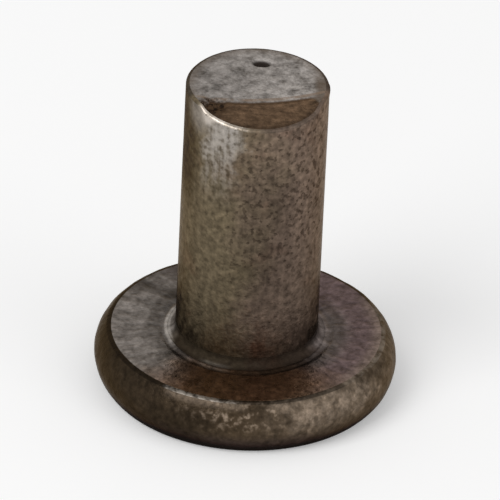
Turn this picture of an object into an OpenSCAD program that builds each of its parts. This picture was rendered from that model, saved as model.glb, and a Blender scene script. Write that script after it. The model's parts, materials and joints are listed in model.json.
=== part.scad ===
// Flat-head solid rivet, cold-headed from one length of wire and standing on its head.
// The origin is the centre of the head's outer face. +Z runs up the shank to the sheared end.
// All sizes are in millimetres.

/* [Shank] */
// Diameter of the shank
shank_d = 6; // [4:0.1:8]
// Length of the shank, from the bearing face under the head to the sheared end
shank_len = 12; // [6:0.5:30]

/* [Head] */
// Diameter of the head at the widest line of its rim
head_d = 12.7; // [11:0.1:18]
// Thickness of the head between its two flat faces
head_k = 2.4; // [1.6:0.1:4]
// How far the upset rim swells past the edges of the two flat faces
rim_bulge = 0.53; // [0.2:0.01:0.75]
// Radius that breaks the edge between each flat face and the rim
rim_edge_r = 0.25; // [0.05:0.05:0.4]

/* [Root] */
// Radius of the fillet between the shank and the bearing face
root_r = 0.35; // [0.1:0.05:0.6]
// Width of the ring that the heading die presses into the bearing face, around the fillet
die_ring_w = 0.4; // [0.2:0.05:0.8]
// Depth of that ring below the bearing face
die_ring_depth = 0.04; // [0.02:0.01:0.12]

/* [Sheared end] */
// Radius left on the edge of the end face
end_edge_r = 0.12; // [0.05:0.01:0.4]
// How far the crescent rolled over by the shear reaches in from the edge of the end face
shear_reach = 1.8; // [0.6:0.1:2.4]
// How far the crescent drops below the end face at the side of the shank
shear_drop = 0.5; // [0.1:0.02:1]
// Radius of the crescent's inner edge, shaped by the round mouth of the shear blade
shear_mouth_r = 8; // [4:0.1:20]
// Direction of the crescent, in degrees from the front (-Y) towards the right (+X)
shear_turn = 9; // [-180:1:180]
// Width of the pit in the end face, at its mouth
pit_d = 0.6; // [0.3:0.05:1]
// Depth of the pit
pit_depth = 0.14; // [0.05:0.01:0.25]
// Distance of the pit from the back edge of the end face
pit_inset = 1.25; // [0.8:0.05:1.9]
// Distance of the pit to the right of the axis
pit_right = 0.12; // [-0.8:0.01:0.8]

/* [Hidden] */
$fn = 128;

shank_r = shank_d / 2;
head_r = head_d / 2;
total_h = head_k + shank_len;

// Radius of an arc that spans a chord and rises above it
function arc_r(chord, rise) = (chord * chord / 4 + rise * rise) / (2 * rise);

// The rim's arc spans the thickness of the head, and its centre lies inside the head
rim_arc_r = arc_r(head_k, rim_bulge);
rim_centre = [head_r - rim_arc_r, head_k / 2];

// The break of the bearing edge touches the flat face above and the rim's arc outside
rim_edge_rise = head_k / 2 - rim_edge_r;
rim_edge_run = sqrt(pow(rim_arc_r - rim_edge_r, 2) - pow(rim_edge_rise, 2));
rim_edge_angle = atan2(rim_edge_rise, rim_edge_run);
rim_edge_centre = rim_centre + [rim_edge_run, rim_edge_rise];

// The die ring starts where the fillet runs out into the bearing face
die_ring_arc_r = arc_r(die_ring_w, die_ring_depth);
die_ring_centre = [shank_r + root_r + die_ring_w / 2, head_k - die_ring_depth + die_ring_arc_r];

// The crescent is part of a wide, low cone whose axis stands behind the shank
shear_slope = shear_drop / shear_reach;
shear_axis_back = shear_mouth_r - (shank_r - shear_reach);
shear_apex_h = total_h + shear_mouth_r * shear_slope;

pit_sphere_r = arc_r(pit_d, pit_depth);

// Waste outside an arc of a section, between two directions in degrees from the radius outwards
module arc_waste(centre, r, from, to) {
    far = 2 * r;
    start = far * [cos(from), sin(from)];
    stop = far * [cos(to), sin(to)];
    translate(centre)
        difference() {
            polygon([[0, 0], start, start + stop, stop]);
            circle(r);
        }
}

// Half section of the head: two flat faces and a barrel rim with broken edges
module head_section() {
    difference() {
        union() {
            square([rim_centre[0], head_k]);
            intersection() {
                translate(rim_centre)
                    circle(rim_arc_r);
                square([head_d, head_k]);
            }
        }
        arc_waste(rim_edge_centre, rim_edge_r, rim_edge_angle, 90);
        translate([0, head_k])
            mirror([0, 1])
                arc_waste(rim_edge_centre, rim_edge_r, rim_edge_angle, 90);
    }
}

// Half section of the shank, with the edge of the sheared end taken off
module shank_section() {
    difference() {
        square([shank_r, total_h]);
        arc_waste([shank_r - end_edge_r, total_h - end_edge_r], end_edge_r, 0, 90);
    }
}

// Half section of the fillet at the root of the shank
module root_section() {
    difference() {
        translate([shank_r, head_k])
            square(root_r);
        translate([shank_r + root_r, head_k + root_r])
            circle(root_r);
    }
}

// The headed blank: one turned section with the die ring pressed in
module blank() {
    rotate_extrude()
        difference() {
            union() {
                head_section();
                shank_section();
                root_section();
            }
            translate(die_ring_centre)
                circle(die_ring_arc_r);
        }
}

// Wide cone that leaves the crescent where it cuts the end of the shank
module shear_cone() {
    rotate([0, 0, shear_turn])
        translate([0, shear_axis_back, -head_k])
            cylinder(h = shear_apex_h + head_k, r1 = (shear_apex_h + head_k) / shear_slope, r2 = 0);
}

// Shallow round pit in the end face
module end_pit() {
    translate([pit_right, shank_r - pit_inset, total_h - pit_depth + pit_sphere_r])
        sphere(pit_sphere_r);
}

// The whole rivet: the blank, sheared at the end and pitted
module rivet() {
    color([0.37, 0.32, 0.27])
        difference() {
            intersection() {
                blank();
                shear_cone();
            }
            end_pit();
        }
}

rivet();
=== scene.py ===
"""Dressed model of a flat-head solid rivet in brown-oxidised steel, standing on its head.

Sizes are in millimetres, and become metres where a mesh, lamp or camera is made.
The front of the rivet faces -Y, and the viewer's right is +X.
"""

import json
import logging
import math
from dataclasses import dataclass
from enum import Enum, IntEnum

import bpy
from mathutils import Matrix, Vector


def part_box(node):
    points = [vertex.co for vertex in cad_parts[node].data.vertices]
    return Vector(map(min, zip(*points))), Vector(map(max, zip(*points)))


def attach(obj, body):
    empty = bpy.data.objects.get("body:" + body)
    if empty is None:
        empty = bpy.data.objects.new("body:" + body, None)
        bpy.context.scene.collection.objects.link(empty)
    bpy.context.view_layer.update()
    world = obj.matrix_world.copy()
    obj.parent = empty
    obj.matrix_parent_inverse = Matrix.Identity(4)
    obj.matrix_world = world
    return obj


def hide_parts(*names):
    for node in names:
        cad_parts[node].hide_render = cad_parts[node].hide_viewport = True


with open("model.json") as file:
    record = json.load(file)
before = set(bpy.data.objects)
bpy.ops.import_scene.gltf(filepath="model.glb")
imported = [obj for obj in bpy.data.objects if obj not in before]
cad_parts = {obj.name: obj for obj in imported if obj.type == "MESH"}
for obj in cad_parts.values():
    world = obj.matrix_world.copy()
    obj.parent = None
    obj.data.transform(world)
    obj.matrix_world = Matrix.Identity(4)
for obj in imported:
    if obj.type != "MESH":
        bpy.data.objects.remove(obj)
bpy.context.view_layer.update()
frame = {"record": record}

MM = 0.001
log = logging.getLogger("rivet")

Socket = bpy.types.NodeSocket
Value = float | tuple[float, ...] | str | bool | Socket
Colour = tuple[float, float, float]
Point2 = tuple[float, float]
Point3 = tuple[float, float, float]


class Zone(IntEnum):
    """Stretches of the half section, in their order from the outer face to the end face."""

    OUTER_FACE = 0
    FOOT_EDGE = 1
    RIM = 2
    BEARING_EDGE = 3
    BEARING_FACE = 4
    DIE_RING = 5
    ROOT = 6
    WALL = 7
    END_EDGE = 8
    END_FACE = 9


class Lay(Enum):
    """How the grain of a pattern runs over the rivet."""

    EVEN = "the same every way"
    RADIAL = "out from the axis"


def placed(name: str, data: bpy.types.ID) -> bpy.types.Object:
    """Adds an object to the scene.

    Args:
        name: Name of the new object.
        data: Its mesh, lamp or camera.

    Returns:
        The object, at the origin.
    """
    made = bpy.data.objects.new(name, data)
    bpy.context.scene.collection.objects.link(made)
    return made


def cleared(block: bpy.types.Material | bpy.types.World) -> bpy.types.NodeTree:
    """Empties the node tree of a new material or world.

    Args:
        block: The material or world.

    Returns:
        Its empty tree.
    """
    block.use_nodes = True
    block.node_tree.nodes.clear()
    return block.node_tree


@dataclass(frozen=True)
class RivetSizes:
    """Sizes of the rivet, in millimetres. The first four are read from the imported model."""

    head_r: float
    total_h: float
    shank_r: float
    head_k: float
    rim_bulge: float = 0.53
    rim_edge_r: float = 0.25
    root_r: float = 0.35
    die_ring_w: float = 0.4
    die_ring_depth: float = 0.04
    end_edge_r: float = 0.12
    shear_reach: float = 1.8
    shear_drop: float = 0.5
    shear_mouth_r: float = 8.0
    shear_turn: float = 9.0
    pit_d: float = 0.6
    pit_depth: float = 0.14
    pit_inset: float = 1.25
    pit_right: float = 0.12

    @classmethod
    def from_frame(cls) -> "RivetSizes":
        """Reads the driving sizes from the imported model.

        Returns:
            The sizes of the rivet that was packed.
        """
        low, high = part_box("rivet")
        mounts = {mount["name"]: mount for mount in frame["record"]["mounts"]}
        return cls(
            head_r=max(high.x, high.y, -low.x, -low.y) / MM,
            total_h=high.z / MM,
            shank_r=mounts["shank"]["dims"]["r_mm"],
            head_k=mounts["bearing_face"]["pos_m"][2] / MM,
        )

    @property
    def rim_arc_r(self) -> float:
        """Radius of the rim's barrel arc, which spans the head's thickness and rises by the bulge."""
        return (self.head_k**2 / 4 + self.rim_bulge**2) / (2 * self.rim_bulge)

    @property
    def rim_centre(self) -> Point2:
        """Centre of the rim's arc in the half section."""
        return self.head_r - self.rim_arc_r, self.head_k / 2

    @property
    def rim_edge_offset(self) -> Point2:
        """From the centre of the rim's arc to the centre of the arc that breaks its upper edge."""
        rise = self.head_k / 2 - self.rim_edge_r
        return math.sqrt((self.rim_arc_r - self.rim_edge_r) ** 2 - rise * rise), rise

    @property
    def toe_r(self) -> float:
        """Radius of the fillet's toe, where it runs out into the bearing face."""
        return self.shank_r + self.root_r

    @property
    def wall_foot(self) -> float:
        """Height where the fillet runs out into the shank's wall."""
        return self.head_k + self.root_r

    @property
    def wall_top(self) -> float:
        """Height where the wall turns into the broken edge of the end face."""
        return self.total_h - self.end_edge_r

    @property
    def end_face_r(self) -> float:
        """Radius of the end face inside its broken edge."""
        return self.shank_r - self.end_edge_r

    @property
    def shear_slope(self) -> float:
        """Fall of the crescent for each millimetre outwards."""
        return self.shear_drop / self.shear_reach

    @property
    def shear_axis(self) -> Point2:
        """Where the axis of the crescent's wide cone stands, behind the shank.

        Returns:
            The place along X and Y.
        """
        back = self.shear_mouth_r - (self.shank_r - self.shear_reach)
        turn = math.radians(self.shear_turn)
        return -back * math.sin(turn), back * math.cos(turn)


@dataclass(frozen=True)
class HalfSection:
    """Half section of the rivet, as points that each become one ring of the turned mesh.

    The field rings says how many points each zone has, in the zones' order.
    """

    sizes: RivetSizes
    rings: tuple[int, ...] = (14, 5, 32, 7, 42, 10, 9, 78, 7, 48)

    @staticmethod
    def shares(steps: int) -> list[float]:
        """Even shares of a stretch, from past its start to its end."""
        return [(i + 1) / steps for i in range(steps)]

    def line(self, start: Point2, stop: Point2, steps: int) -> list[Point2]:
        """Points along a straight stretch, past its start."""
        return [tuple(a + (b - a) * t for a, b in zip(start, stop)) for t in self.shares(steps)]

    def arc(self, centre: Point2, radius: float, start: float, stop: float, steps: int) -> list[Point2]:
        """Points along a round stretch between two angles in degrees, past its start."""
        angles = [math.radians(start + (stop - start) * t) for t in self.shares(steps)]
        return [(centre[0] + radius * math.cos(a), centre[1] + radius * math.sin(a)) for a in angles]

    def dip(self, start: float, stop: float, height: float, depth: float, steps: int) -> list[Point2]:
        """Points across a soft dip in a level face, past its start.

        Args:
            start: Radius where the dip starts.
            stop: Radius where it ends.
            height: Height of the face.
            depth: How far the middle of the dip lies below the face.
            steps: How many points to give.

        Returns:
            The points as radius and height.
        """
        points = []
        for share in self.shares(steps):
            points.append((start + (stop - start) * share, height - depth * math.sin(math.pi * share) ** 2))
        return points

    def stretch(self, zone: Zone) -> list[Point2]:
        """Points of one zone, in order.

        Args:
            zone: The stretch of the section to make.

        Returns:
            The points as radius and height.
        """
        s = self.sizes
        steps = self.rings[zone]
        run, rise = s.rim_edge_offset
        edge_x = s.rim_centre[0] + run
        edge_angle = math.degrees(math.atan2(rise, run))
        match zone:
            case Zone.OUTER_FACE:
                return self.line((0, 0), (edge_x, 0), steps)
            case Zone.FOOT_EDGE:
                return self.arc((edge_x, s.rim_edge_r), s.rim_edge_r, -90, -edge_angle, steps)
            case Zone.RIM:
                return self.arc(s.rim_centre, s.rim_arc_r, -edge_angle, edge_angle, steps)
            case Zone.BEARING_EDGE:
                return self.arc((edge_x, s.head_k - s.rim_edge_r), s.rim_edge_r, edge_angle, 90, steps)
            case Zone.BEARING_FACE:
                return self.line((edge_x, s.head_k), (s.toe_r + s.die_ring_w, s.head_k), steps)
            case Zone.DIE_RING:
                return self.dip(s.toe_r + s.die_ring_w, s.toe_r, s.head_k, s.die_ring_depth, steps)
            case Zone.ROOT:
                return self.arc((s.toe_r, s.wall_foot), s.root_r, -90, -180, steps)
            case Zone.WALL:
                return self.line((s.shank_r, s.wall_foot), (s.shank_r, s.wall_top), steps)
            case Zone.END_EDGE:
                return self.arc((s.end_face_r, s.wall_top), s.end_edge_r, 0, 90, steps)
            case Zone.END_FACE:
                return self.line((s.end_face_r, s.total_h), (0, s.total_h), steps)

    def as_object(self, name: str) -> bpy.types.Object:
        """Makes the section as a row of points in the XZ plane, each marked with its zone.

        Args:
            name: Name of the new object.

        Returns:
            The object, linked to the scene.
        """
        points: list[Point2] = [(0, 0)]
        zones: list[int] = [Zone.OUTER_FACE]
        for zone in Zone:
            stretch = self.stretch(zone)
            points += stretch
            zones += [zone] * len(stretch)
        mesh = bpy.data.meshes.new(name)
        mesh.from_pydata([(r * MM, 0, z * MM) for r, z in points], [], [])
        mesh.attributes.new("zone", "FLOAT", "POINT").data.foreach_set("value", zones)
        return placed(name, mesh)


@dataclass(frozen=True)
class Pattern:
    """A noise over the rivet.

    The number is added to a seed. The scale is in cells for each millimetre along X, Y and Z, or where
    the lay is radial, in cells for each radian, each millimetre of radius and each millimetre of height.
    """

    number: int
    scale: Point3
    detail: float
    rough: float
    lay: Lay = Lay.EVEN


class Wiring:
    """Adds nodes to one node tree and joins them up."""

    ZONE_REACH = 0.45
    ZONE_SOFT = 0.1
    MIX_COLOURS = (6, 7)
    MIX_RESULT = 2

    def __init__(self, tree: bpy.types.NodeTree) -> None:
        """Takes the tree that the nodes go into."""
        self.tree = tree

    def feed(self, socket: Socket, value: Value) -> None:
        """Links an input to an output, or sets its own value.

        Args:
            socket: The input to feed.
            value: The output or the value.
        """
        if isinstance(value, Socket):
            self.tree.links.new(value, socket)
        else:
            socket.default_value = value

    def node(self, kind: str, settings: dict[str, object], inputs: dict[str | int, Value]) -> bpy.types.Node:
        """Adds one node.

        Args:
            kind: Blender's name of the node type.
            settings: The node's own properties.
            inputs: What feeds each input, by its name or number.

        Returns:
            The new node.
        """
        made = self.tree.nodes.new(kind)
        for name, value in settings.items():
            setattr(made, name, value)
        for key, value in inputs.items():
            self.feed(made.inputs[key], value)
        return made

    def math(self, operation: str, *values: Value) -> Socket:
        """Result of one Math node on these values."""
        return self.node("ShaderNodeMath", {"operation": operation}, dict(enumerate(values))).outputs[0]

    def fold(self, operation: str, values: tuple[Value, ...]) -> Value:
        """Takes several values together by one Math operation.

        Args:
            operation: Blender's name of the operation.
            values: The values, in order.

        Returns:
            The result.
        """
        result = values[0]
        for value in values[1:]:
            result = self.math(operation, result, value)
        return result

    def total(self, *terms: Value) -> Socket:
        """Sum of several values."""
        return self.fold("ADD", terms)

    def product(self, *factors: Value) -> Socket:
        """Product of several masks and factors."""
        return self.fold("MULTIPLY", factors)

    def most(self, *masks: Value) -> Socket:
        """The largest of several masks."""
        return self.fold("MAXIMUM", masks)

    def between(self, mask: Socket, low: float, high: float) -> Socket:
        """A value that is low where a mask is 0 and high where it is 1."""
        return self.math("MULTIPLY_ADD", mask, high - low, low)

    def less(self, mask: Socket, amount: float = 1.0) -> Socket:
        """A factor that falls from 1 by an amount where a mask is 1."""
        return self.between(mask, 1.0, 1.0 - amount)

    def swing(self, noise: Socket, amount: float, middle: float = 1.0) -> Socket:
        """A noise turned into a factor that swings to both sides of a middle value."""
        return self.between(noise, middle - amount / 2, middle + amount / 2)

    def vector(self, operation: str, first: Value, second: Value) -> Socket:
        """Result of one Vector Math node that gives a vector."""
        made = self.node("ShaderNodeVectorMath", {"operation": operation}, {0: first, 1: second})
        return made.outputs["Vector"]

    def scaled(self, vector: Socket, factor: Value) -> Socket:
        """A vector times a number."""
        made = self.node("ShaderNodeVectorMath", {"operation": "SCALE"}, {0: vector, "Scale": factor})
        return made.outputs["Vector"]

    def length(self, vector: Socket) -> Socket:
        """Length of a vector."""
        return self.node("ShaderNodeVectorMath", {"operation": "LENGTH"}, {0: vector}).outputs["Value"]

    def along(self, vector: Socket, direction: Point3) -> Socket:
        """Length of a vector's shadow on a direction."""
        made = self.node("ShaderNodeVectorMath", {"operation": "DOT_PRODUCT"}, {0: vector, 1: direction})
        return made.outputs["Value"]

    def split(self, vector: Socket) -> tuple[Socket, Socket, Socket]:
        """The three parts of a vector."""
        made = self.node("ShaderNodeSeparateXYZ", {}, {0: vector})
        return made.outputs[0], made.outputs[1], made.outputs[2]

    def joined(self, x: Value, y: Value, z: Value) -> Socket:
        """A vector from its three parts."""
        return self.node("ShaderNodeCombineXYZ", {}, {0: x, 1: y, 2: z}).outputs[0]

    def step(self, value: Socket, low: float, high: float) -> Socket:
        """A soft step from 0 at low to 1 at high, or downwards where low is the larger."""
        inputs = {"Value": value, "From Min": low, "From Max": high}
        return self.node("ShaderNodeMapRange", {"interpolation_type": "SMOOTHSTEP"}, inputs).outputs[0]

    def band(self, value: Socket, low: float, high: float, soft: float) -> Socket:
        """A mask that is 1 between two values and fades out over a soft width on both sides."""
        return self.product(self.step(value, low - soft, low), self.step(value, high + soft, high))

    def zones(self, zone: Socket, first: Zone, last: Zone) -> Socket:
        """A mask of a run of zones."""
        return self.band(zone, first - self.ZONE_REACH, last + self.ZONE_REACH, self.ZONE_SOFT)

    def radial(self, place: Socket, scale: Point3) -> Socket:
        """Place in cells that run out from the axis.

        Args:
            place: Place on the rivet, in millimetres.
            scale: Cells for each radian, each millimetre of radius and each millimetre of height.

        Returns:
            The place in cells.
        """
        x, y, z = self.split(place)
        flat = self.joined(x, y, 0.0)
        outward = self.vector("NORMALIZE", flat, flat)
        round_x, round_y, _ = self.split(self.scaled(outward, scale[0]))
        out = self.product(self.length(flat), scale[1])
        return self.joined(round_x, round_y, self.math("MULTIPLY_ADD", z, scale[2], out))

    def noise(self, place: Socket, pattern: Pattern, seed: Value) -> Socket:
        """Lays a pattern over the rivet.

        Args:
            place: Place on the rivet, in millimetres.
            pattern: The pattern to lay.
            seed: The seed with the pattern's number added.

        Returns:
            The noise, from 0 to 1.
        """
        if pattern.lay is Lay.RADIAL:
            at = self.radial(place, pattern.scale)
        else:
            at = self.vector("MULTIPLY", place, pattern.scale)
        inputs = {"Vector": at, "W": seed, "Scale": 1.0, "Detail": pattern.detail, "Roughness": pattern.rough}
        return self.node("ShaderNodeTexNoise", {"noise_dimensions": "4D"}, inputs).outputs[0]

    def blend(self, share: Value, first: Value, second: Value, mode: str = "MIX") -> Socket:
        """Mixes two colours.

        Args:
            share: How much of the second colour there is.
            first: The colour below.
            second: The colour above.
            mode: Blender's blend type.

        Returns:
            The mixed colour.
        """
        made = self.node("ShaderNodeMix", {"data_type": "RGBA", "blend_type": mode}, {0: share})
        for number, colour in zip(self.MIX_COLOURS, (first, second)):
            self.feed(made.inputs[number], colour if isinstance(colour, Socket) else (*colour, 1.0))
        return made.outputs[self.MIX_RESULT]

    def toned(self, colour: Value, *factors: Value) -> Socket:
        """A colour made lighter or darker by several factors."""
        tone = self.product(*factors)
        return self.blend(1.0, colour, self.joined(tone, tone, tone), "MULTIPLY")

    def ramp(self, value: Socket, low: tuple[float, Colour], high: tuple[float, Colour]) -> Socket:
        """Runs from one colour to another along a scale.

        Args:
            value: Place on the scale.
            low: Where the first colour ends, and that colour.
            high: Where the second colour starts, and that colour.

        Returns:
            The colour.
        """
        made = self.node("ShaderNodeValToRGB", {}, {0: value})
        for element, (place, colour) in zip(made.color_ramp.elements, (low, high)):
            element.position = place
            element.color = (*colour, 1.0)
        return made.outputs[0]


@dataclass(frozen=True)
class Relief:
    """A layer of uneven skin over a run of zones: its pattern and its height from low to high."""

    name: str
    first: Zone
    last: Zone
    pattern: Pattern
    height: float


@dataclass(frozen=True)
class Pock:
    """A hollow in the skin, or a bump where its depth is negative: an ellipsoid's reach, in millimetres."""

    name: str
    centre: Point3
    radii: Point3
    depth: float
    soot_and_shade: float = 0.0


@dataclass(frozen=True)
class Lip:
    """A stretch of the end's edge that the shear left standing: its middle and its reach, in millimetres."""

    name: str
    place: Point2
    reach: float


class RivetTree(Wiring):
    """Geometry Nodes tree that turns a half section, shears its end and makes its skin uneven."""

    INPUTS = (
        ("Half Section", "NodeSocketGeometry"),
        ("Segments", "NodeSocketInt"),
        ("Wall Foot", "NodeSocketFloat"),
        ("Wall Top", "NodeSocketFloat"),
        ("End Face Radius", "NodeSocketFloat"),
        ("Shear Axis", "NodeSocketVector"),
        ("Shear Mouth Radius", "NodeSocketFloat"),
        ("Shear Slope", "NodeSocketFloat"),
        ("Shear Crease", "NodeSocketFloat"),
        ("Left Lip Place", "NodeSocketVector"),
        ("Left Lip Reach", "NodeSocketFloat"),
        ("Right Lip Place", "NodeSocketVector"),
        ("Right Lip Reach", "NodeSocketFloat"),
        ("Skin Seed", "NodeSocketFloat"),
        ("Steel", "NodeSocketMaterial"),
    )
    SEAM_GAP = 1e-7
    LIP_CORE = 0.5
    POCK_FLOOR = 0.45
    SMOOTH_FOOT = 0.6

    def __init__(self, reliefs: tuple[Relief, ...], pocks: tuple[Pock, ...]) -> None:
        """Builds the tree.

        Args:
            reliefs: The layers of uneven skin.
            pocks: The single hollows.
        """
        super().__init__(bpy.data.node_groups.new("turned_rivet", "GeometryNodeTree"))
        for name, kind in self.INPUTS:
            self.tree.interface.new_socket(name=name, in_out="INPUT", socket_type=kind)
        self.tree.interface.new_socket(name="Rivet", in_out="OUTPUT", socket_type="NodeSocketGeometry")
        self.given = self.tree.nodes.new("NodeGroupInput").outputs
        shape = self.sheared(self.turned())
        shape = self.pressed(shape, pocks)
        shape = self.uneven(shape, reliefs)
        self.finish(shape)

    def attribute(self, name: str) -> Socket:
        """A stored number of each point."""
        made = self.node("GeometryNodeInputNamedAttribute", {"data_type": "FLOAT"}, {"Name": name})
        return made.outputs["Attribute"]

    def stored(self, shape: Socket, name: str, value: Socket) -> Socket:
        """The shape with a number stored on each of its points."""
        inputs = {"Geometry": shape, "Name": name, "Value": value}
        return self.node("GeometryNodeStoreNamedAttribute", {"data_type": "FLOAT"}, inputs).outputs[0]

    def place(self) -> Socket:
        """Place of each point, in metres."""
        return self.node("GeometryNodeInputPosition", {}, {}).outputs[0]

    def shifted(self, shape: Socket, offset: Socket) -> Socket:
        """The shape with each point moved."""
        return self.node("GeometryNodeSetPosition", {}, {"Geometry": shape, "Offset": offset}).outputs[0]

    def pushed(self, shape: Socket, height: Socket) -> Socket:
        """The shape with each point pushed out along its normal."""
        normal = self.node("GeometryNodeInputNormal", {}, {}).outputs[0]
        return self.shifted(shape, self.scaled(normal, height))

    def sampled(self, value: Socket, ring: Socket, kind: str) -> Socket:
        """A value of the half section's point that makes a ring."""
        inputs = {"Geometry": self.given["Half Section"], "Value": value, "Index": ring}
        return self.node("GeometryNodeSampleIndex", {"data_type": kind, "domain": "POINT"}, inputs).outputs[0]

    def turned(self) -> Socket:
        """Turns the half section once round the axis and closes the seam.

        Returns:
            The turned shape, with its zones stored.
        """
        section = {0: self.given["Half Section"]}
        size = self.node("GeometryNodeAttributeDomainSize", {"component": "MESH"}, section)
        count = size.outputs["Point Count"]
        columns = self.total(self.given["Segments"], 1.0)
        inputs = {"Size X": 1.0, "Size Y": 1.0, "Vertices X": columns, "Vertices Y": count}
        grid = self.node("GeometryNodeMeshGrid", {}, inputs).outputs["Mesh"]
        across, along, _ = self.split(self.place())
        last = self.math("SUBTRACT", count, 1.0)
        ring = self.math("ROUND", self.product(self.total(along, 0.5), last))
        angle = self.product(self.total(across, 0.5), math.tau)
        shape = self.stored(grid, "zone", self.sampled(self.attribute("zone"), ring, "FLOAT"))
        radius, _, height = self.split(self.sampled(self.place(), ring, "FLOAT_VECTOR"))
        x = self.product(self.math("SINE", angle), radius, -1.0)
        y = self.product(self.math("COSINE", angle), radius)
        inputs = {"Geometry": shape, "Position": self.joined(x, y, height)}
        shape = self.node("GeometryNodeSetPosition", {}, inputs).outputs[0]
        inputs = {"Geometry": shape, "Distance": self.SEAM_GAP}
        return self.node("GeometryNodeMergeByDistance", {}, inputs).outputs[0]

    def sheared(self, shape: Socket) -> Socket:
        """Lets the end down to the crescent's cone, and the wall below it in proportion.

        A lip that the shear left standing at each corner keeps its height.

        Args:
            shape: The turned shape.

        Returns:
            The sheared shape, with the distance past the crease and the drop stored in millimetres.
        """
        given = self.given
        x, y, z = self.split(self.place())
        flat = self.joined(x, y, 0.0)
        radius = self.most(self.length(flat), self.SEAM_GAP)
        kept = self.math("MINIMUM", radius, given["End Face Radius"])
        inside = self.scaled(flat, self.math("DIVIDE", kept, radius))
        away = self.length(self.vector("SUBTRACT", inside, given["Shear Axis"]))
        past = self.math("SUBTRACT", away, given["Shear Mouth Radius"])
        fall = self.product(past, given["Shear Slope"])
        drop = self.math("SMOOTH_MAX", fall, 0.0, given["Shear Crease"])
        for lip in ("Left Lip", "Right Lip"):
            from_lip = self.length(self.vector("SUBTRACT", inside, given[lip + " Place"]))
            share = self.math("DIVIDE", from_lip, given[lip + " Reach"])
            drop = self.product(drop, self.step(share, self.LIP_CORE, 1.0))
        span = {"Value": z, "From Min": given["Wall Foot"], "From Max": given["Wall Top"]}
        share = self.node("ShaderNodeMapRange", {}, span).outputs[0]
        shape = self.stored(shape, "shear_run", self.product(past, 1 / MM))
        shape = self.stored(shape, "shear_drop", self.product(drop, 1 / MM))
        return self.shifted(shape, self.joined(0.0, 0.0, self.product(drop, share, -1.0)))

    def pressed(self, shape: Socket, pocks: tuple[Pock, ...]) -> Socket:
        """Presses single hollows into the skin.

        Args:
            shape: The shape so far.
            pocks: The hollows.

        Returns:
            The pocked shape, with the soot in its hollows stored as a mask.
        """
        place = self.scaled(self.place(), 1 / MM)
        depths, soot_and_shade = [], []
        for pock in pocks:
            inverse = tuple(1 / r for r in pock.radii)
            away = self.vector("SUBTRACT", place, pock.centre)
            mask = self.step(self.length(self.vector("MULTIPLY", away, inverse)), 1.0, self.POCK_FLOOR)
            mask.node.label = pock.name
            depths.append(self.product(mask, -pock.depth * MM))
            soot_and_shade.append(self.product(mask, pock.soot_and_shade))
        shape = self.stored(shape, "pocked", self.total(*soot_and_shade))
        return self.pushed(shape, self.total(*depths))

    def uneven(self, shape: Socket, reliefs: tuple[Relief, ...]) -> Socket:
        """Moves the skin in and out by layers of noise, but not where it rests on the floor.

        Args:
            shape: The shape so far.
            reliefs: The layers.

        Returns:
            The uneven shape.
        """
        place = self.scaled(self.place(), 1 / MM)
        zone = self.attribute("zone")
        clear = self.step(self.along(place, (0.0, 0.0, 1.0)), 0.0, self.SMOOTH_FOOT)
        heights = []
        for relief in reliefs:
            seed = self.total(self.given["Skin Seed"], float(relief.pattern.number))
            swing = self.math("SUBTRACT", self.noise(place, relief.pattern, seed), 0.5)
            swing.node.label = relief.name
            mask = self.zones(zone, relief.first, relief.last)
            heights.append(self.product(swing, mask, relief.height * MM))
        return self.pushed(shape, self.product(self.total(*heights), clear))

    def finish(self, shape: Socket) -> None:
        """Smooths the shading, makes the result real and gives it its steel.

        Args:
            shape: The finished shape.
        """
        smooth = self.node("GeometryNodeSetShadeSmooth", {}, {"Geometry": shape}).outputs[0]
        real = self.node("GeometryNodeRealizeInstances", {}, {"Geometry": smooth}).outputs[0]
        inputs = {"Geometry": real, "Material": self.given["Steel"]}
        dressed = self.node("GeometryNodeSetMaterial", {}, inputs).outputs[0]
        self.node("NodeGroupOutput", {}, {"Rivet": dressed})

    def apply(self, section: bpy.types.Object, values: dict[str, object]) -> None:
        """Runs the tree on a half section and leaves the result as a plain mesh.

        Args:
            section: Object that holds the half section. It becomes the finished piece.
            values: The tree's inputs, by their names.
        """
        modifier = section.modifiers.new("turned_rivet", "NODES")
        modifier.node_group = self.tree
        for item in self.tree.interface.items_tree:
            if item.name in values:
                modifier[item.identifier] = values[item.name]
        graph = bpy.context.evaluated_depsgraph_get()
        made = bpy.data.meshes.new_from_object(
            section.evaluated_get(graph), preserve_all_data_layers=True, depsgraph=graph
        )
        section.modifiers.remove(modifier)
        section.data = made


@dataclass(frozen=True)
class Side:
    """A stretch of the rivet's round that a mark of the finish covers.

    The middle is in degrees from the front towards the right. The mark has its full strength within the
    inner degrees to either side and is gone at the outer degrees. A ragged border has finer noise.
    """

    middle: float
    inner: float
    outer: float
    strength: float = 1.0
    ragged: float = 0.0


@dataclass(frozen=True)
class Span:
    """Where a mark starts along a scale, where it is full, and its strength."""

    start: float
    full: float
    strength: float = 1.0


@dataclass(frozen=True)
class Strip:
    """A strip that a mark covers along a scale: its start and stop, its soft width and its strength."""

    start: float
    stop: float
    soft: float
    strength: float = 1.0


@dataclass(frozen=True)
class Spot:
    """A round mark: its middle, with its height from a level, and its reach from that middle."""

    middle: Point3
    reach: Span


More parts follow.
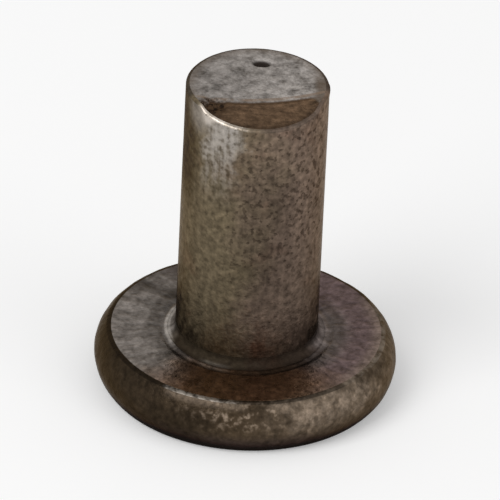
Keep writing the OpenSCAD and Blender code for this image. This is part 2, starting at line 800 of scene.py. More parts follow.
@dataclass(frozen=True)
class SteelSides:
    """Which way each mark of the finish, and each painted light, shade or reflection, faces."""

    close_pits: Side = Side(26.0, 26.0, 62.0)
    highlit_wear_wall: Side = Side(-28.0, 7.0, 23.0)
    shaded_front_wall: Side = Side(14.0, 6.0, 30.0, 0.25)
    reflected_dark_wall: Side = Side(-88.0, 28.0, 44.0)
    unshaded_front_wall: Side = Side(6.0, 36.0, 90.0, ragged=0.7)
    unshaded_front_foot: Side = Side(6.0, 42.0, 66.0, ragged=0.5)
    unshaded_back_wall: Side = Side(-174.0, 20.0, 90.0, 0.45)
    front_root: Side = Side(-6.0, 58.0, 78.0)
    gleaming_root: Side = Side(-93.0, 14.0, 30.0, 0.75)
    dark_toe: Side = Side(4.0, 48.0, 74.0, 0.66)
    light_toe: Side = Side(-24.0, 10.0, 26.0, 0.6)
    shaded_toe_right: Side = Side(34.0, 14.0, 30.0, 0.85)
    specked_rim: Side = Side(20.0, 22.0, 50.0, 0.8)
    patched_rim: Side = Side(-15.0, 8.0, 20.0, 0.5)
    highlit_worn_rim: Side = Side(50.0, 34.0, 50.0)
    most_highlit_rim: Side = Side(38.0, 12.0, 26.0)
    shadowed_left_rim: Side = Side(-62.0, 42.0, 58.0, 0.5)
    pale_rim_foot: Side = Side(58.0, 20.0, 34.0, 0.4)
    pale_rim_edge: Side = Side(88.0, 32.0, 46.0)
    highlit_edge_left: Side = Side(-20.0, 6.0, 18.0, 0.34)
    highlit_edge_right: Side = Side(82.0, 22.0, 40.0, 0.12)
    grey_face: Side = Side(-92.0, 40.0, 75.0)
    grey_face_inside: Side = Side(80.0, 25.0, 55.0, 0.6)
    reflected_shank_face: Side = Side(0.0, 20.0, 55.0)
    plain_face: Side = Side(0.0, 36.0, 56.0)
    reflected_dark_face: Side = Side(-150.0, 20.0, 42.0, 0.45)
    worn_face_near: Side = Side(40.0, 8.0, 28.0, 0.2)
    worn_face_far: Side = Side(84.0, 24.0, 44.0, 0.5)
    brown_end: Side = Side(72.0, 22.0, 45.0, 0.85)
    crisp_end_edge: Side = Side(-38.0, 17.0, 38.0)
    dark_end_edge: Side = Side(45.0, 25.0, 55.0, 0.4)


@dataclass(frozen=True)
class SteelSpans:
    """How far each mark of the finish, and each painted light, shade or reflection, reaches, by the scale
    that its comment names.
    """

    # Millimetres above the wall's foot
    close_pits: Span = Span(1.25, 6.25)
    rusty_wall: Span = Span(4.5, 0.0)
    # These spans lay dark oxide and painted shade at the wall's foot, and painted shade on its sides.
    low_oxide_and_shade: Span = Span(2.2, -0.2, 0.26)
    near_oxide_and_shade: Span = Span(0.45, 0.0, 0.52)
    side_shade: Span = Span(4.05, -0.15, 0.95)
    close_shade: Span = Span(1.85, -0.15, 0.85)
    # Millimetres below the wall's top
    highlit_wear_top: Span = Span(4.6, 0.4)
    reflected_dark_top: Span = Span(6.0, 3.0)
    # Millimetres to the right of the axis, moved by a noise on the wall
    rosy_side: Span = Span(1.6, 4.4)
    # Painted light on the crescent's right.
    lit_crescent: Span = Span(0.0, 2.0)
    # Shares of the head's thickness
    highlit_worn_rim: Span = Span(0.23, 0.71)
    specked_rim: Span = Span(0.375, 0.792)
    patched_rim: Span = Span(0.833, 0.958)
    dark_rim_top: Span = Span(0.73, 0.95, 0.3)
    dark_rim_foot: Span = Span(0.5, 0.12, 0.9)
    shaded_rim_foot: Span = Span(0.3125, 0.0417, 0.9)
    # Millimetres above the bearing face
    fillet_oxide_and_shade: Span = Span(0.02, 0.30, 0.72)
    # Millimetres outside the fillet's toe
    grey_face: Span = Span(1.35, 0.35)
    # Millimetres inside the rim
    worn_face: Span = Span(1.35, 0.45)
    # Millimetres inside the shank's wall
    brown_border: Span = Span(0.7, 0.12)
    brown_end: Span = Span(0.75, 0.4)
    sooty_end: Span = Span(0.48, 0.16, 0.45)
    # Millimetres past the crescent's crease
    lower_edge: Span = Span(0.3, 0.8)
    back_edge: Span = Span(0.2, -0.2)
    # Millimetres that the shear let the end down
    sheared: Span = Span(0.02, 0.07)
    # Shares of the torn corner's reach
    torn_reach: Span = Span(1.0, 0.5)
    # Soot pressed into the hollows
    sooty_pit: Span = Span(0.0, 0.9, 0.95)
    # Levels of a noise, or of two noises added
    pits: Span = Span(0.46, 0.34)
    rust: Span = Span(0.54, 0.68)
    torn_grit: Span = Span(0.56, 0.46)
    rim_patches: Span = Span(0.38, 0.62)
    crest_patches: Span = Span(0.35, 0.55)
    edge_patches: Span = Span(0.36, 0.60)
    specks: Span = Span(0.98, 1.24)
    highlit_wear_patches: Span = Span(0.74, 1.14)


@dataclass(frozen=True)
class OxidisedSteel:
    """Cold-headed steel under a thin brown oxide, rubbed bare where it has been handled, with painted
    highlights, reflections, light and shade laid into its colour.
    """

    name: str = "oxidised_steel"
    seed: float = 11.0
    metallic: float = 0.9
    edge_tint: Colour = (0.60, 0.52, 0.44)
    dull_tint: Colour = (0.10, 0.08, 0.07)
    olive: Colour = (0.130, 0.102, 0.064)
    rosy: Colour = (0.145, 0.104, 0.079)
    rust: Colour = (0.105, 0.050, 0.030)
    rim_brown: Colour = (0.062, 0.043, 0.026)
    # Worn steel with a painted highlight, on the rim's right front and the bearing face's outer right.
    rim_wear_and_highlight: Colour = (0.230, 0.178, 0.134)
    # Painted shade at the rim's foot.
    rim_foot_shade: Colour = (0.028, 0.020, 0.023)
    bearing_grey: Colour = (0.140, 0.126, 0.116)
    # Painted reflection of the shank on the bearing face's front.
    bearing_shank_reflection: Colour = (0.140, 0.082, 0.048)
    bearing_purple: Colour = (0.098, 0.070, 0.071)
    end_dark: Colour = (0.070, 0.064, 0.058)
    end_light: Colour = (0.450, 0.418, 0.395)
    end_brown: Colour = (0.105, 0.080, 0.060)
    # Painted highlight along the crescent's rounded crease.
    crease_highlight: Colour = (0.210, 0.155, 0.115)
    crease_dark: Colour = (0.056, 0.033, 0.018)
    crescent: Colour = (0.096, 0.060, 0.036)
    # Bare steel, also laid as a painted highlight on the shank and the fillet.
    bare_and_highlight: Colour = (0.370, 0.340, 0.310)
    # Rubbed steel with a painted highlight, on the edges.
    bright: Colour = (0.580, 0.520, 0.460)
    # Dark oxide, also laid as painted shade.
    soot_and_shade: Colour = (0.020, 0.014, 0.010)
    sides: SteelSides = SteelSides()
    spans: SteelSpans = SteelSpans()
    # Rings by millimetres outside the fillet's toe
    # The gleam rings place a painted highlight on the fillet.
    gleam_ring: Strip = Strip(-0.09, 0.05, 0.10)
    front_gleam_ring: Strip = Strip(-0.13, 0.20, 0.12)
    # The toe rings place painted shade along the fillet's toe.
    toe_ring: Strip = Strip(-0.01, 0.19, 0.12)
    shaded_toe_right_ring: Strip = Strip(-0.03, 0.27, 0.12)
    # Painted dark reflection in a ring round the fillet.
    reflected_dark_ring: Strip = Strip(0.25, 0.70, 0.30, 0.4)
    # Millimetres above the wall's foot
    shaded_front_middle: Strip = Strip(4.25, 7.75, 2.5)
    # Millimetres past the crescent's crease
    trough: Strip = Strip(0.16, 0.26, 0.1, 0.8)
    crest: Strip = Strip(-0.02, 0.08, 0.06, 0.8)
    # Corners by their height from the wall's top
    highlit_bare_corner: Spot = Spot((-2.36, -1.85, -0.26), Span(1.4, 0.2, 0.7))
    highlit_chafed_corner: Spot = Spot((-1.98, -2.25, -0.2), Span(0.6, 0.1, 0.85))
    # The gleam by its height from the bearing face
    front_gleam: Spot = Spot((-1.3, -3.05, 0.0), Span(0.95, 0.35, 0.34))
    # The torn corner's middle, and one over its reach, in the plane of the end
    torn_middle: Point3 = (-1.85, -1.72, 0.0)
    torn_squash: Point3 = (1.15, 1.6, 0.0)

    def build(self, sizes: RivetSizes) -> bpy.types.Material:
        """Makes the material.

        Args:
            sizes: Sizes of the rivet, which place the finish.

        Returns:
            The material.
        """
        material = bpy.data.materials.new(self.name)
        patterns = SteelPatterns(self, sizes, cleared(material))
        inputs = {
            "Base Color": patterns.colour(),
            "Metallic": self.metallic,
            "Specular Tint": patterns.sheen(),
            "Roughness": patterns.roughness(),
            "Normal": patterns.bump(),
        }
        shader = patterns.node("ShaderNodeBsdfPrincipled", {}, inputs)
        patterns.node("ShaderNodeOutputMaterial", {}, {"Surface": shader.outputs[0]})
        return material


class SteelPatterns(Wiring):
    """The patterns that the steel's colour, roughness and bump share."""

    DRIFT = Pattern(0, (0.33, 0.33, 0.33), 3.0, 0.55)
    BLOTCH = Pattern(1, (0.8, 0.8, 0.8), 5.0, 0.6)
    MOTTLE = Pattern(2, (2.4, 2.4, 2.4), 4.0, 0.6)
    GRIT = Pattern(3, (8.0, 8.0, 8.0), 4.0, 0.6)
    STREAK = Pattern(4, (4.5, 4.5, 0.32), 4.0, 0.6)
    RAYS = Pattern(5, (9.0, 0.45, 0.1), 3.0, 0.6, Lay.RADIAL)
    RUST = Pattern(6, (0.55, 0.55, 0.55), 4.0, 0.6)
    PITS = Pattern(7, (4.6, 4.6, 4.6), 1.0, 0.5)
    SPECKLE = Pattern(9, (1.9, 1.9, 1.9), 3.0, 0.6)
    FLECKS = Pattern(10, (4.0, 4.0, 4.0), 2.0, 0.5)
    BRUSHED = Pattern(11, (1.2, 6.0, 6.0), 3.0, 0.6)
    BORDER_SWING = 0.3
    LOW_ROOT = 0.1

    def __init__(self, steel: OxidisedSteel, sizes: RivetSizes, tree: bpy.types.NodeTree) -> None:
        """Lays out the masks and noises.

        Args:
            steel: The finish.
            sizes: Sizes of the rivet.
            tree: The material's tree.
        """
        super().__init__(tree)
        self.steel, self.sizes = steel, sizes
        self.sides, self.spans = steel.sides, steel.spans
        self.place = self.scaled(self.node("ShaderNodeTexCoord", {}, {}).outputs["Object"], 1 / MM)
        self.x, y, z = self.split(self.place)
        flat = self.joined(self.x, y, 0.0)
        radius = self.length(flat)
        self.outward = self.vector("NORMALIZE", flat, flat)
        self.head_share = self.math("DIVIDE", z, sizes.head_k)
        self.above_face = self.math("SUBTRACT", z, sizes.head_k)
        self.above_foot = self.math("SUBTRACT", z, sizes.wall_foot)
        self.below_top = self.math("SUBTRACT", sizes.wall_top, z)
        self.past_toe = self.math("SUBTRACT", radius, sizes.toe_r)
        self.inside_rim = self.math("SUBTRACT", sizes.head_r, radius)
        self.inside_wall = self.math("SUBTRACT", sizes.shank_r, radius)
        self.rim = self.over(Zone.OUTER_FACE, Zone.BEARING_EDGE)
        self.bearing_edge = self.over(Zone.BEARING_EDGE, Zone.BEARING_EDGE)
        self.bearing = self.over(Zone.BEARING_FACE, Zone.DIE_RING)
        self.root = self.over(Zone.ROOT, Zone.ROOT)
        self.wall = self.over(Zone.WALL, Zone.WALL)
        self.end_edge = self.over(Zone.END_EDGE, Zone.END_EDGE)
        self.end = self.over(Zone.END_FACE, Zone.END_FACE)
        self.low_root = self.step(self.above_face, sizes.root_r, self.LOW_ROOT)
        self.shear_run = self.attribute("shear_run")
        self.lower_edge = self.product(self.end_edge, self.fade(self.shear_run, self.spans.lower_edge))
        self.back_edge = self.product(self.end_edge, self.fade(self.shear_run, self.spans.back_edge))
        self.sheared = self.product(self.fade(self.attribute("shear_drop"), self.spans.sheared), self.end)
        self.drift = self.spread(self.DRIFT)
        self.blotch = self.spread(self.BLOTCH)
        self.mottle = self.spread(self.MOTTLE)
        self.grit = self.spread(self.GRIT)
        self.streak = self.spread(self.STREAK)
        self.rays = self.spread(self.RAYS)
        self.flecks = self.spread(self.FLECKS)
        self.torn_corner = self.torn()
        self.pits = self.pitted()
        self.bare_and_highlight = self.most(self.highlit_wear(), self.gleam())
        self.dark = self.oxide_and_shade()

    def attribute(self, name: str) -> Socket:
        """A number stored on the mesh."""
        return self.node("ShaderNodeAttribute", {"attribute_name": name}, {}).outputs["Fac"]

    def over(self, first: Zone, last: Zone) -> Socket:
        """Mask of a run of zones of the steel."""
        return self.zones(self.attribute("zone"), first, last)

    def spread(self, pattern: Pattern) -> Socket:
        """A pattern laid over the steel, from 0 to 1."""
        return self.noise(self.place, pattern, self.steel.seed + pattern.number)

    def toward(self, side: Side) -> Socket:
        """Mask of one side of the rivet, with an uneven border.

        Args:
            side: The side.

        Returns:
            The mask, up to the side's strength.
        """
        turn = math.radians(side.middle)
        facing = self.along(self.outward, (math.sin(turn), -math.cos(turn), 0.0))
        uneven = self.total(facing, self.swing(self.blotch, self.BORDER_SWING, 0.0))
        if side.ragged:
            uneven = self.total(uneven, self.swing(self.mottle, side.ragged, 0.0))
        mask = self.step(uneven, math.cos(math.radians(side.outer)), math.cos(math.radians(side.inner)))
        return self.product(mask, side.strength)

    def fade(self, scale: Socket, span: Span) -> Socket:
        """Mask that rises along a scale from where a mark starts to where it is full."""
        return self.product(self.step(scale, span.start, span.full), span.strength)

    def strip(self, scale: Socket, strip: Strip) -> Socket:
        """Mask of a strip along a scale."""
        return self.product(self.band(scale, strip.start, strip.stop, strip.soft), strip.strength)

    def spot(self, spot: Spot, level: float) -> Socket:
        """Mask of a round mark.

        Args:
            spot: The mark.
            level: Height that its middle is measured from.

        Returns:
            The mask, up to the mark's strength.
        """
        x, y, rise = spot.middle
        away = self.vector("SUBTRACT", self.place, (x, y, level + rise))
        return self.fade(self.length(away), spot.reach)

    def torn(self) -> Socket:
        """Mask of the dark, torn corner at the left end of the crescent.

        Returns:
            The mask.
        """
        away = self.vector("SUBTRACT", self.place, self.steel.torn_middle)
        reach = self.length(self.vector("MULTIPLY", away, self.steel.torn_squash))
        patchy = self.swing(self.flecks, 2.0, 0.75)
        return self.product(self.fade(reach, self.spans.torn_reach), self.end, patchy)

    def pitted(self) -> Socket:
        """Mask of fine pits, closest together on the upper right of the shank.

        Returns:
            The mask.
        """
        sides, spans = self.sides, self.spans
        pits = self.fade(self.spread(self.PITS), spans.pits)
        close = self.product(self.toward(sides.close_pits), self.fade(self.above_foot, spans.close_pits))
        return self.product(pits, self.between(close, 0.2, 1.0))

    def highlit_wear(self) -> Socket:
        """Mask of bare steel with a painted highlight on the shank: a band at its upper front left, and the
        left corner.

        Returns:
            The mask.
        """
        top = self.fade(self.below_top, self.spans.highlit_wear_top)
        patchy = self.fade(self.total(self.streak, self.flecks), self.spans.highlit_wear_patches)
        rubbed_and_highlit = self.math("MINIMUM", self.math("MULTIPLY_ADD", top, 0.35, patchy), 1.0)
        band = self.product(self.toward(self.sides.highlit_wear_wall), top, rubbed_and_highlit)
        corner = self.spot(self.steel.highlit_bare_corner, self.sizes.wall_top)
        return self.product(self.most(band, corner), self.wall)

    def gleam(self) -> Socket:
        """Mask of a painted highlight on the outer part of the fillet: bright on its left side, faint on its
        front left.

        Returns:
            The mask.
        """
        steel, sides = self.steel, self.sides
        left = self.product(self.strip(self.past_toe, steel.gleam_ring), self.toward(sides.gleaming_root))
        front = self.spot(steel.front_gleam, self.sizes.head_k)
        front = self.product(front, self.strip(self.past_toe, steel.front_gleam_ring))
        return self.product(self.most(left, front), self.low_root)

    def colour(self) -> Socket:
        """Colour of the steel and its oxide, with painted highlights, reflections, light and shade.

        Returns:
            The colour.
        """
        steel = self.steel
        colour = self.blend(self.rim, self.wall_colour(), self.rim_colour())
        root_sides = self.product(self.root, self.less(self.toward(self.sides.front_root)))
        colour = self.blend(self.most(self.bearing, root_sides), colour, self.bearing_colour())
        rough = self.product(self.swing(self.mottle, 1.2), self.swing(self.flecks, 1.9))
        colour = self.toned(colour, rough, self.swing(self.grit, 0.6), self.swing(self.blotch, 0.5))
        colour = self.blend(self.product(self.back_edge, 0.7), colour, steel.end_dark)
        colour = self.blend(self.end, colour, self.end_colour())
        # Bare steel with a painted highlight on the shank and the fillet.
        bare_and_highlight = self.toned(steel.bare_and_highlight, self.swing(self.streak, 0.9), self.swing(self.flecks, 1.3))
        colour = self.blend(self.product(self.bare_and_highlight, 0.85), colour, bare_and_highlight)
        # Rubbed edges with a painted highlight.
        colour = self.blend(self.rubbed_and_highlit(), colour, steel.bright)
        return self.blend(self.dark, colour, steel.soot_and_shade)

    def wall_colour(self) -> Socket:
        """Colour of the shank's wall: olive on the left, rosier on the right, darker towards the root and
        lighter towards the top in painted shade and light, and darker across the middle of its front in
        painted shade.

        Returns:
            The colour.
        """
        steel, sides, sizes, spans = self.steel, self.sides, self.sizes, self.spans
        right = self.fade(self.math("MULTIPLY_ADD", self.drift, 6.0, self.x), spans.rosy_side)
        colour = self.blend(right, steel.olive, steel.rosy)
        rusty = self.fade(self.spread(self.RUST), spans.rust)
        low = self.between(self.fade(self.above_foot, spans.rusty_wall), 0.2, 0.75)
        colour = self.blend(self.product(rusty, low), colour, steel.rust)
        # Painted shade and light: darker towards the root, lighter towards the top.
        lift = self.between(self.step(self.above_foot, 0.0, sizes.total_h - sizes.wall_foot), 0.80, 1.14)
        # Painted shade across the middle of the front.
        middle = self.product(self.toward(sides.shaded_front_wall), self.strip(self.above_foot, steel.shaded_front_middle))
        return self.toned(colour, lift, self.less(middle), self.swing(self.streak, 0.8))

    def rim_colour(self) -> Socket:
        """Colour of the rim: worn and specked with bare steel in front, with a painted highlight on its right
        front, painted shadow on its left and painted shade at its foot.

        Returns:
            The colour.
        """
        steel, sides, spans, share = self.steel, self.sides, self.spans, self.head_share
        specks = self.fade(self.total(self.mottle, self.flecks), spans.specks)
        specked = self.product(specks, self.toward(sides.specked_rim), self.fade(share, spans.specked_rim))
        patch = self.product(self.toward(sides.patched_rim), self.fade(share, spans.patched_rim))
        patchy = self.between(self.fade(self.mottle, spans.rim_patches), 0.6, 1.3)
        # Wear with a painted highlight on the rim's right front.
        right = self.between(self.toward(sides.most_highlit_rim), 0.22, 0.67)
        worn = self.most(specked, patch, self.product(self.toward(sides.highlit_worn_rim), right, patchy))
        worn = self.product(worn, self.fade(share, spans.highlit_worn_rim))
        colour = self.blend(worn, steel.rim_brown, steel.rim_wear_and_highlight)
        # Painted shade on the lower rim and at its foot.
        foot = self.fade(share, spans.dark_rim_foot)
        foot = self.product(foot, self.less(self.toward(sides.pale_rim_foot)))
        colour = self.blend(foot, colour, steel.rim_foot_shade)
        top = self.less(self.fade(share, spans.dark_rim_top))
        edge = self.product(self.bearing_edge, self.less(self.toward(sides.pale_rim_edge)))
        # Painted shadow on the left of the rim.
        return self.toned(colour, self.less(self.toward(sides.shadowed_left_rim)), top, self.less(edge, 0.5))

    def bearing_colour(self) -> Socket:
        """Colour of the bearing face: grey on the left and lighter there in painted light, brown in front as
        a painted reflection of the shank, purplish on the right, with painted dark reflections behind and in
        a ring round the fillet.

        Returns:
            The colour.
        """
        steel, sides, spans = self.steel, self.sides, self.spans
        # Grey on the left, its own tone, made lighter there in painted light.
        left = self.toward(sides.grey_face)
        colour = self.blend(left, steel.bearing_purple, steel.bearing_grey)
        inside = self.product(self.toward(sides.grey_face_inside), self.fade(self.past_toe, spans.grey_face))
        colour = self.blend(inside, colour, steel.bearing_grey)
        # Painted reflection of the shank in front.
        colour = self.blend(self.toward(sides.reflected_shank_face), colour, steel.bearing_shank_reflection)
        worn = self.most(self.toward(sides.worn_face_near), self.toward(sides.worn_face_far))
        worn = self.product(worn, self.fade(self.inside_rim, spans.worn_face))
        colour = self.blend(worn, colour, steel.rim_wear_and_highlight)
        marks = self.product(self.math("SUBTRACT", self.rays, 0.5), self.between(left, 1.2, 2.8))
        # Painted dark reflections: a ring round the fillet and the back.
        ring = self.strip(self.past_toe, steel.reflected_dark_ring)
        ring = self.product(ring, self.less(self.toward(sides.plain_face)))
        behind = self.less(self.toward(sides.reflected_dark_face))
        return self.toned(colour, self.total(marks, 1.0), self.less(ring), behind)

    def end_colour(self) -> Socket:
        """Colour of the sheared end: mottled grey where it broke, brown where the blade drew it down, lighter
        towards the right in painted light, with a painted highlight along the crease.

        Returns:
            The colour.
        """
        steel, sides, sizes, spans = self.steel, self.sides, self.sizes, self.spans
        speckle = self.total(self.product(self.grit, 0.32), self.product(self.spread(self.SPECKLE), 0.68))
        broken = self.ramp(speckle, (0.33, steel.end_dark), (0.66, steel.end_light))
        # Painted light: the broken face is lighter towards the right.
        lift = self.between(self.step(self.x, -sizes.shank_r, sizes.shank_r), 0.80, 1.15)
        border = self.fade(self.inside_wall, spans.brown_border)
        border = self.product(border, self.swing(self.mottle, 1.6, 0.5))
        right = self.product(self.fade(self.inside_wall, spans.brown_end), self.toward(sides.brown_end))
        broken = self.blend(self.most(border, right), self.toned(broken, lift), steel.end_brown)
        rough = self.product(self.swing(self.mottle, 1.9), self.swing(self.flecks, 1.6))
        # Painted light: the crescent is lighter towards the right.
        lighter = self.between(self.fade(self.x, spans.lit_crescent), 1.0, 1.2)
        drawn = self.toned(steel.crescent, rough, self.swing(self.spread(self.BRUSHED), 1.8), lighter)
        drawn = self.blend(self.strip(self.shear_run, steel.trough), drawn, steel.crease_dark)
        colour = self.blend(self.sheared, broken, drawn)
        # Painted highlight along the rounded crease.
        crest = self.strip(self.shear_run, steel.crest)
        crest = self.product(crest, self.fade(self.mottle, spans.crest_patches))
        colour = self.blend(crest, colour, steel.crease_highlight)
        return self.blend(self.torn_corner, colour, steel.crease_dark)

    def rubbed_and_highlit(self) -> Socket:
        """Mask of what is rubbed bright and carries a painted highlight: the crescent's lower edge, its
        corner and the bearing edge.

        Returns:
            The mask.
        """
        sides = self.sides
        patchy = self.fade(self.mottle, self.spans.edge_patches)
        crisp = self.between(self.toward(sides.crisp_end_edge), 0.06, 0.96)
        lower = self.product(self.lower_edge, crisp, self.between(patchy, 0.35, 1.0))
        corner = self.product(self.spot(self.steel.highlit_chafed_corner, self.sizes.wall_top), self.wall)
        bearing = self.most(self.toward(sides.highlit_edge_left), self.toward(sides.highlit_edge_right))
        return self.most(lower, corner, self.product(self.bearing_edge, bearing, patchy))

    def oxide_and_shade(self) -> Socket:
        """Mask of dark oxide and painted shade on the whole rivet.

        Returns:
            The mask, from 0 to 1.
        """
        dull = self.less(self.bare_and_highlight, 0.9)
        pits = self.product(self.pits, self.wall, self.less(self.bare_and_highlight, 0.7), 0.5)
        # Painted shade at the rim's foot.
        rim_foot_shade = self.product(self.fade(self.head_share, self.spans.shaded_rim_foot), self.rim)
        hollow = self.fade(self.attribute("pocked"), self.spans.sooty_pit)
        marks = self.most(pits, rim_foot_shade, hollow)
        result = self.most(marks, self.wall_oxide_and_shade(dull), self.root_oxide_and_shade(dull), self.end_grime())
        return self.node("ShaderNodeClamp", {}, {0: result}).outputs[0]

    def wall_oxide_and_shade(self, dull: Socket) -> Socket:
        """Mask of dark oxide and painted shade on the shank's wall: around its foot, painted shade most on
        its sides, and a painted dark reflection at its upper left.

        Args:
            dull: A factor that leaves bare steel and painted highlight free.

        Returns:
            The mask.
        """
        sides, spans, height = self.sides, self.spans, self.above_foot
        # Dark oxide and painted shade around the foot.
        low = self.most(self.fade(height, spans.low_oxide_and_shade), self.fade(height, spans.near_oxide_and_shade))
        # Painted shade on the sides near the foot.
        ragged = self.total(height, self.swing(self.mottle, 3.0, 0.0), self.swing(self.blotch, 4.0, 0.0))
        aside = self.product(self.less(self.toward(sides.unshaded_front_wall)), self.fade(ragged, spans.side_shade))
        close = self.product(self.less(self.toward(sides.unshaded_front_foot)), self.fade(ragged, spans.close_shade))
        aside = self.product(self.most(aside, close), self.less(self.toward(sides.unshaded_back_wall)))
        # Painted reflection of something dark at the upper left.
        left = self.product(self.toward(sides.reflected_dark_wall), self.fade(self.below_top, spans.reflected_dark_top), dull)
        left = self.product(left, self.swing(self.mottle, 0.8, 0.5))
        return self.product(self.most(low, aside, left), self.wall)

    def root_oxide_and_shade(self, dull: Socket) -> Socket:
        """Mask of dark oxide and painted shade in the fillet, and of painted shade along its toe.

        Args:
            dull: A factor that leaves bare steel and painted highlight free.

        Returns:
            The mask.
        """
        steel, sides = self.steel, self.sides
        # Painted shade along the fillet's toe.
        toe = self.product(self.strip(self.past_toe, steel.toe_ring), self.toward(sides.dark_toe), dull)
        toe = self.product(toe, self.less(self.toward(sides.light_toe)))
        bitten = self.product(self.strip(self.past_toe, steel.shaded_toe_right_ring), self.toward(sides.shaded_toe_right))
        toe = self.product(self.most(toe, bitten), self.low_root)
        # Dark oxide and painted shade in the fillet.
        front = self.between(self.step(self.above_face, self.sizes.root_r, 0.0), 0.68, 0.82)
        front = self.product(self.toward(sides.front_root), front)
        upper = self.fade(self.above_face, self.spans.fillet_oxide_and_shade)
        fillet = self.product(self.most(front, upper), self.root, dull, self.swing(self.mottle, 0.7, 0.98))
        return self.most(toe, fillet)

    def end_grime(self) -> Socket:
        """Mask of dark oxide on the sheared end: at its edges and in its torn corner.

        Returns:
            The mask.
        """
        back = self.product(self.back_edge, 0.4)
        inner = self.product(self.sheared, self.fade(self.inside_wall, self.spans.sooty_end))
        right = self.product(self.lower_edge, self.toward(self.sides.dark_end_edge))
        corner = self.product(self.torn_corner, self.fade(self.grit, self.spans.torn_grit))
        return self.most(back, inner, right, corner)

    def sheen(self) -> Socket:
        """Tint of the reflection at a flat angle, dull where dark oxide and painted shade lie."""
        return self.blend(self.dark, self.steel.edge_tint, self.steel.dull_tint)

    def roughness(self) -> Socket:
        """Roughness of the steel: rubbed skin is smoother, torn steel and dark oxide are rougher.

        Returns:
            The roughness.
        """
        torn = self.math("SUBTRACT", self.end, self.sheared)
        shares = ((torn, 0.12), (self.bare_and_highlight, -0.06), (self.bearing, -0.08), (self.root, 0.2), (self.dark, 0.2))
        return self.total(self.swing(self.mottle, 0.3, 0.38), *(self.product(*share) for share in shares))

    def bump(self) -> Socket:
        """Fine relief of the skin, in millimetres.

        Returns:
            The bent normal.
        """
        layers = (
            (self.grit, 0.014, 1.0),
            (self.mottle, 0.020, 1.0),
            (self.flecks, 0.022, 1.0),
            (self.streak, 0.018, self.wall),
            (self.rays, 0.040, self.bearing),
            (self.grit, 0.045, self.end),
            (self.pits, -0.014, self.wall),
        )
        heights = self.total(*(self.product(*layer) for layer in layers))
        inputs = {"Height": heights, "Distance": MM, "Strength": 1.0}
        return self.node("ShaderNodeBump", {}, inputs).outputs[0]


@dataclass(frozen=True)
class Rivet:
    """The one-piece rivet: its form, its uneven skin and its steel."""

    sizes: RivetSizes
    steel: OxidisedSteel = OxidisedSteel()
    segments: int = 360
    seed: float = 4.0
    crease: float = 0.05
    pit_oval: Point2 = (0.85, 0.6)
    pit_reach: float = 0.3
    lips: tuple[Lip, ...] = (Lip("Left Lip", (-2.6, -1.5), 0.8), Lip("Right Lip", (3.25, -0.8), 1.15))
    reliefs: tuple[Relief, ...] = (
        Relief(
            "swell of the head", Zone.FOOT_EDGE, Zone.DIE_RING, Pattern(0, (0.22, 0.22, 0.22), 2.0, 0.5), 0.10
        ),
        Relief(
            "hammered rim", Zone.FOOT_EDGE, Zone.BEARING_EDGE, Pattern(1, (1.1, 1.1, 1.1), 3.0, 0.5), 0.07
        ),
        Relief(
            "flow marks",
            Zone.BEARING_FACE,
            Zone.DIE_RING,
            Pattern(2, (7.0, 0.4, 0.0), 2.0, 0.5, Lay.RADIAL),
            0.04,
        ),
        Relief("drawn wall", Zone.ROOT, Zone.END_EDGE, Pattern(3, (0.9, 0.9, 0.18), 2.0, 0.5), 0.035),
        Relief("torn end", Zone.END_FACE, Zone.END_FACE, Pattern(4, (1.6, 1.6, 1.6), 4.0, 0.6), 0.08),
    )

    def pocks(self) -> tuple[Pock, ...]:
        """Single hollows and bumps that the shear left on the end.

        Returns:
            The pit, the torn corner and the burr.
        """
        s = self.sizes
        wide, deep = (s.pit_d * share for share in self.pit_oval)
        return (
            Pock(
                "pit",
                centre=(s.pit_right, s.shank_r - s.pit_inset, s.total_h),
                radii=(wide, deep, self.pit_reach),
                depth=s.pit_depth,
                soot_and_shade=1.0,
            ),
            Pock("torn corner", centre=(-1.85, -1.62, s.total_h - 0.1), radii=(0.7, 0.46, 0.4), depth=0.08),
            Pock("burr", centre=(s.shank_r, 0.1, s.wall_top), radii=(0.3, 0.4, 0.25), depth=-0.025),
        )

    def build(self) -> bpy.types.Object:
        """Turns, shears, roughens and dresses the rivet.

        Returns:
            The finished piece, riding on the root body in place of the CAD node.
        """
        s = self.sizes
        piece = HalfSection(s).as_object("dressed_rivet")
        values = {
            "Segments": self.segments,
            "Wall Foot": s.wall_foot * MM,
            "Wall Top": s.wall_top * MM,
            "End Face Radius": s.end_face_r * MM,
            "Shear Axis": Vector((*s.shear_axis, 0)) * MM,
            "Shear Mouth Radius": s.shear_mouth_r * MM,
            "Shear Slope": s.shear_slope,
            "Shear Crease": self.crease * MM,
            "Skin Seed": self.seed,
            "Steel": self.steel.build(s),
        }
        for lip in self.lips:
            values[lip.name + " Place"] = Vector((*lip.place, 0)) * MM
            values[lip.name + " Reach"] = lip.reach * MM
        RivetTree(self.reliefs, self.pocks()).apply(piece, values)
        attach(piece, "root")
        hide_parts("rivet")
        log.info("%s: %d faces", piece.name, len(piece.data.polygons))
        return piece


@dataclass(frozen=True)
class Softbox:
    """A square soft lamp: where it stands as seen from the rivet, and how bright it makes a white card.

    The angles are in degrees, and the distance and the side in metres.
    """

    name: str
    azimuth: float
    elevation: float
    distance: float
    side: float
    level: float

    def build(self, aim: Vector) -> bpy.types.Object:
        """Makes the lamp.

        Args:
            aim: Point that the lamp faces, in metres.

        Returns:
            The lamp, linked to the scene.
        """
        turn, lift = math.radians(self.azimuth), math.radians(self.elevation)
        out = Vector((math.sin(turn) * math.cos(lift), -math.cos(turn) * math.cos(lift), math.sin(lift)))
        light = bpy.data.lights.new(self.name, "AREA")
        light.size = self.side
        light.energy = self.level * (math.pi * self.distance) ** 2
        lamp = placed(self.name, light)
        lamp.location = aim + out * self.distance
        lamp.rotation_mode = "QUATERNION"
        lamp.rotation_quaternion = (-out).to_track_quat("-Z", "Y")
        return lamp


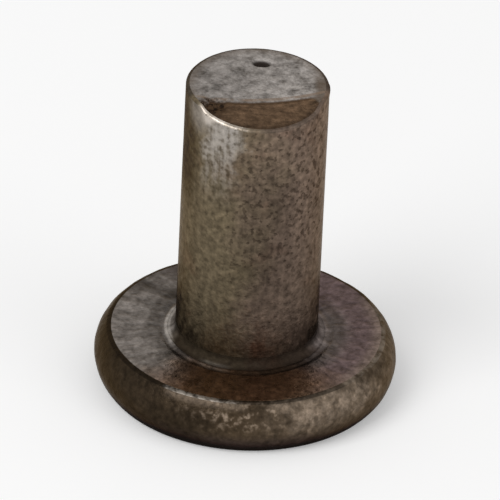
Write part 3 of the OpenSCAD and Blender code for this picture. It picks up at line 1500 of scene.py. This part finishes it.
@dataclass(frozen=True)
class Studio:
    """Plain pale floor, its side in metres, with white surroundings and soft lamps."""

    floor_side: float = 6.0
    floor_colour: float = 0.86
    floor_glow: float = 0.24
    sky_level: float = 0.5
    lamps: tuple[Softbox, ...] = (
        Softbox("key_softbox", azimuth=-48.0, elevation=46.0, distance=0.6, side=0.35, level=0.42),
        Softbox("fill_softbox", azimuth=60.0, elevation=38.0, distance=0.7, side=0.45, level=0.12),
    )

    @staticmethod
    def seen(wire: Wiring) -> Socket:
        """1 on rays from the camera, mirrors and glass, 0 on rays that gather light."""
        path = wire.node("ShaderNodeLightPath", {}, {}).outputs
        return wire.most(path["Is Camera Ray"], path["Is Glossy Ray"], path["Is Transmission Ray"])

    def build_floor(self) -> bpy.types.Object:
        """Makes the floor, which keeps the rivet's shadow.

        Returns:
            The floor.
        """
        half = self.floor_side / 2
        mesh = bpy.data.meshes.new("floor")
        corners = [(-half, -half, 0), (half, -half, 0), (half, half, 0), (-half, half, 0)]
        mesh.from_pydata(corners, [], [(0, 1, 2, 3)])
        floor = placed("floor", mesh)
        material = bpy.data.materials.new("pale_floor")
        wire = Wiring(cleared(material))
        matt = wire.node("ShaderNodeBsdfDiffuse", {}, {"Color": (*(self.floor_colour,) * 3, 1.0)})
        level = wire.product(self.seen(wire), self.floor_glow)
        glow = wire.node("ShaderNodeEmission", {}, {"Strength": level})
        lit = wire.node("ShaderNodeAddShader", {}, {0: matt.outputs[0], 1: glow.outputs[0]})
        wire.node("ShaderNodeOutputMaterial", {}, {"Surface": lit.outputs[0]})
        mesh.materials.append(material)
        return floor

    def build_sky(self) -> None:
        """Makes the surroundings: white where they are seen, softer where they light the rivet."""
        world = bpy.data.worlds.new("white_surroundings")
        wire = Wiring(cleared(world))
        level = wire.between(self.seen(wire), self.sky_level, 1.0)
        sky = wire.node("ShaderNodeBackground", {}, {"Color": (1.0, 1.0, 1.0, 1.0), "Strength": level})
        wire.node("ShaderNodeOutputWorld", {}, {"Surface": sky.outputs[0]})
        bpy.context.scene.world = world

    def build(self, aim: Vector) -> None:
        """Makes the floor, the surroundings and the lamps.

        Args:
            aim: Point that the lamps face, in metres.
        """
        self.build_floor()
        self.build_sky()
        for lamp in self.lamps:
            lamp.build(aim)
            log.info("%s: level %.2f", lamp.name, lamp.level)


@dataclass(frozen=True)
class PhotoCamera:
    """Camera at the photograph's viewing angle, brought closer so that the rivet fills the picture.

    The angles are in degrees. The distances at which it clips are in metres.
    """

    elevation: float = 31.67
    roll: float = 2.73
    distance: float = 600.0
    aim_height: float = 6.29
    pixels_per_mm: float = 53.0 / 6.0
    closer: float = 2.7
    picture_side: float = 500.0
    clip_near: float = 0.01
    clip_far: float = 20.0

    @property
    def aim(self) -> Vector:
        """Point on the rivet's axis at the middle of the picture, in metres."""
        return Vector((0, 0, self.aim_height)) * MM

    def build(self) -> bpy.types.Object:
        """Makes the camera and gives it to the scene.

        Returns:
            The camera.
        """
        lift, roll = math.radians(self.elevation), math.radians(self.roll)
        back = Vector((0, -math.cos(lift), math.sin(lift)))
        right = Vector((1, 0, 0))
        up = back.cross(right)
        side = right * math.cos(roll) + up * math.sin(roll)
        top = up * math.cos(roll) - right * math.sin(roll)
        turn = Matrix((side, top, back)).transposed().to_4x4()
        data = bpy.data.cameras.new("photo_camera")
        data.lens = data.sensor_width * self.pixels_per_mm * self.closer * self.distance / self.picture_side
        data.clip_start = self.clip_near
        data.clip_end = self.clip_far
        camera = placed("photo_camera", data)
        camera.matrix_world = Matrix.Translation(self.aim + back * self.distance * MM) @ turn
        bpy.context.scene.camera = camera
        return camera


def main() -> None:
    """Builds the camera, the studio and the rivet."""
    logging.basicConfig(level=logging.INFO, format="%(message)s")
    bpy.context.scene.view_settings.view_transform = "Standard"
    camera = PhotoCamera()
    camera.build()
    Studio().build(camera.aim)
    Rivet(RivetSizes.from_frame()).build()


if __name__ == "__main__":
    main()
